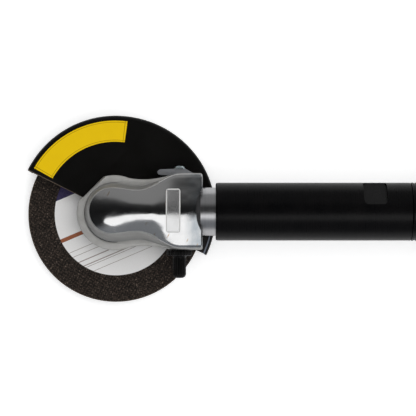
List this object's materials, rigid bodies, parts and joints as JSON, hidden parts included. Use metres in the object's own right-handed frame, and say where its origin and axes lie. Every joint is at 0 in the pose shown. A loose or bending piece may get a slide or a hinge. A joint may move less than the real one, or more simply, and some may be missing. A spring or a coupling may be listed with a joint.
{
  "type": "pneumatic cut off tool",
  "caption": "Air-powered angle cut-off tool: a guarded abrasive wheel under an angle head, a long round motor barrel and a rear handle with a throttle lever.",
  "frame": {"origin": "on the wheel's axis, on the flat end of the wheel bolt", "axes": "+X runs back along the handle to the air inlet, +Z from the wheel up through the angle head, +Y to the side that the guard covers"},
  "size_m": [0.3351, 0.1068, 0.0797],
  "materials": {
    "head_alloy": "polished and satin cast aluminium",
    "clamp_alloy": "matte bead-blasted grey",
    "plain_steel": "turned and satin",
    "bearing_steel": "ground and polished",
    "gear_steel": "hardened, straw tinted",
    "zinc_steel": "bright zinc",
    "black_barrel": "satin black",
    "black_guard": "satin black powder coat",
    "black_knob": "black oxide",
    "handle_black": "satin black",
    "spring_steel": "spring steel",
    "brass": "machined",
    "phenolic": "cloth-laid phenolic, cut edges",
    "felt": "pressed felt",
    "sintered": "sintered bronze, dull",
    "o_ring_rubber": "matt",
    "abrasive": "coarse bonded grit",
    "label_paper": "printed grey and white, no lettering",
    "decal_yellow": "blank yellow film",
    "plate_silver": "blank brushed plate",
    "lever_steel": "plated sheet",
    "latch_red": "moulded"
  },
  "bodies": {
    "tool_body": {"angle_head": "head_alloy", "head_plate": "plate_silver", "guard_clamp": "clamp_alloy", "clamp_bar": "plain_steel", "clamp_screw": "zinc_steel", "guard_retaining_ring": "spring_steel", "bearing_cap": "plain_steel", "spindle_seal": "felt", "low_bearing_outer": "bearing_steel", "top_bearing_outer": "bearing_steel", "pinion_bearing_outers": "bearing_steel", "bearing_balls": "bearing_steel", "steel_collar": "plain_steel", "barrel": "black_barrel", "motor_cylinder": "sintered", "front_end_plate": "plain_steel", "rear_end_plate": "plain_steel", "motor_bearing_outers": "bearing_steel", "motor_spring_washer": "spring_steel", "union_nut": "black_barrel", "handle": "handle_black", "valve_seat": "brass", "valve_plug": "brass", "valve_spring": "spring_steel", "exhaust_silencer": "sintered", "inlet_bushing": "brass", "inlet_screen": "plain_steel", "inlet_o_ring": "o_ring_rubber", "lever_pivot_pin": "plain_steel"},
    "wheel_spindle": {"spindle": "plain_steel", "spindle_key": "plain_steel", "bevel_gear": "gear_steel", "low_bearing_inner": "bearing_steel", "top_bearing_inner": "bearing_steel", "inner_flange": "plain_steel", "outer_flange": "plain_steel", "cutting_wheel": "abrasive", "wheel_bushing": "plain_steel", "wheel_label": "label_paper", "wheel_bolt": "spring_steel"},
    "motor_rotor": {"bevel_pinion": "gear_steel", "pinion_bearing_inners": "bearing_steel", "drive_coupling": "plain_steel", "rotor": "plain_steel", "rotor_vanes": "phenolic", "motor_bearing_inners": "bearing_steel"},
    "wheel_guard": {"guard": "black_guard", "guard_decal": "decal_yellow"},
    "lock_knob": {"guard_lock_knob": "black_knob"},
    "lever": {"throttle_lever": "lever_steel", "latch_pin": "plain_steel", "latch_spring": "spring_steel"},
    "latch": {"lock_latch": "latch_red"},
    "throttle_valve": {"throttle_pin": "plain_steel", "valve_ball": "bearing_steel"},
    "deflector": {"exhaust_deflector": "handle_black"},
    "regulator": {"air_regulator": "brass"}
  },
  "joints": [
    {"name": "wheel_spin", "type": "hinge", "parent": "tool_body", "child": "wheel_spindle", "pos_m": [0, 0, 0.009], "axis": [0, 0, 1], "continuous": true},
    {"name": "rotor_spin", "type": "hinge", "parent": "tool_body", "child": "motor_rotor", "pos_m": [0, 0, 0.042], "axis": [1, 0, 0], "continuous": true},
    {"name": "guard_swivel", "type": "hinge", "parent": "tool_body", "child": "wheel_guard", "pos_m": [0, 0, 0.0235], "axis": [0, 0, 1], "range_deg": [0, 150]},
    {"name": "lock_knob_turn", "type": "hinge", "parent": "tool_body", "child": "lock_knob", "pos_m": [0.0369, -0.0213, 0.0276], "axis": [0, -1, 0], "range_deg": [0, 360]},
    {"name": "lever_press", "type": "hinge", "parent": "tool_body", "child": "lever", "pos_m": [0.2479, 0, 0.062], "axis": [0, -1, 0], "range_deg": [0, 7], "stiffness_Nm_per_rad": 0.6, "springref_deg": -14.32},
    {"name": "latch_turn", "type": "hinge", "parent": "lever", "child": "latch", "pos_m": [0.1959, 0, 0.06535], "axis": [0, 1, 0], "range_deg": [0, 50], "stiffness_Nm_per_rad": 0.01, "springref_deg": -17.19},
    {"name": "throttle_slide", "type": "slide", "parent": "tool_body", "child": "throttle_valve", "axis": [0, 0, -1], "range_m": [0, 0.0017], "stiffness_N_per_m": 30, "springref_m": -0.002, "deforming": ["valve_spring"]},
    {"name": "deflector_turn", "type": "hinge", "parent": "tool_body", "child": "deflector", "pos_m": [0.2561, 0, 0.042], "axis": [1, 0, 0], "continuous": true},
    {"name": "regulator_turn", "type": "hinge", "parent": "tool_body", "child": "regulator", "pos_m": [0.2019, 0, 0.0465], "axis": [0, 1, 0], "range_deg": [0, 90]}
  ],
  "couplings": [
    {"joint": "rotor_spin", "follows": "wheel_spin", "ratio": 1.4},
    {"joint": "throttle_slide", "follows": "lever_press", "m_per_rad": 0.013},
    {"joint": "latch_turn", "follows": "lever_press", "ratio": 7}
  ]
}
